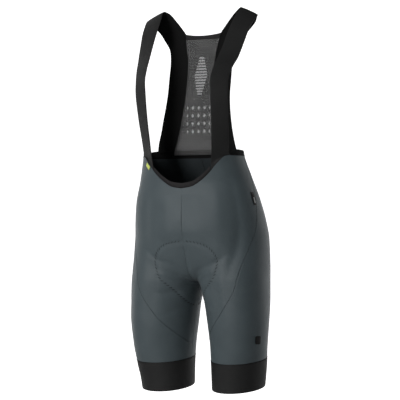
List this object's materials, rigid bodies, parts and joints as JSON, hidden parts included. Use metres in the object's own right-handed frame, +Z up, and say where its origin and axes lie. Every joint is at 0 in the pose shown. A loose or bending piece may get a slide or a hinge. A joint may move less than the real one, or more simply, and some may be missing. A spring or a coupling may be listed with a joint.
{
  "type": "cycling bib shorts",
  "caption": "Bib shorts for cycling, filled out as worn: stretch panels, curved side seam, gripper leg ends, wide shoulder straps and a mesh back.",
  "frame": {"origin": "midway between the tops of the two shoulder straps, where the wearer's shoulders hold the garment", "axes": "+Z up, -Y to the garment's front, +X to the wearer's left"},
  "size_m": [0.3542, 0.2277, 0.9169],
  "materials": {
    "stretch_knit": "warp-knitted nylon and elastane, slight sheen",
    "gripper_elastic": "matt black woven elastic",
    "strap_elastic": "matt black raw-cut stretch knit",
    "binding_elastic": "folded black elastic binding",
    "mesh_knit": "open grey polyester mesh with a pale print",
    "tab_tape": "bright yellow woven tape",
    "label_tape": "smooth black transfer label"
  },
  "bodies": {
    "root": {"front_panel_left": "stretch_knit", "front_panel_right": "stretch_knit", "side_back_panel_left": "stretch_knit", "side_back_panel_right": "stretch_knit", "leg_gripper_left": "gripper_elastic", "leg_gripper_right": "gripper_elastic", "strap_left": "strap_elastic", "strap_right": "strap_elastic", "front_neck_binding": "binding_elastic", "waistband": "binding_elastic", "back_neck_binding": "binding_elastic", "mesh_back_panel": "mesh_knit", "strap_tab": "tab_tape", "hip_label": "label_tape", "thigh_patch": "label_tape"}
  },
  "joints": []
}
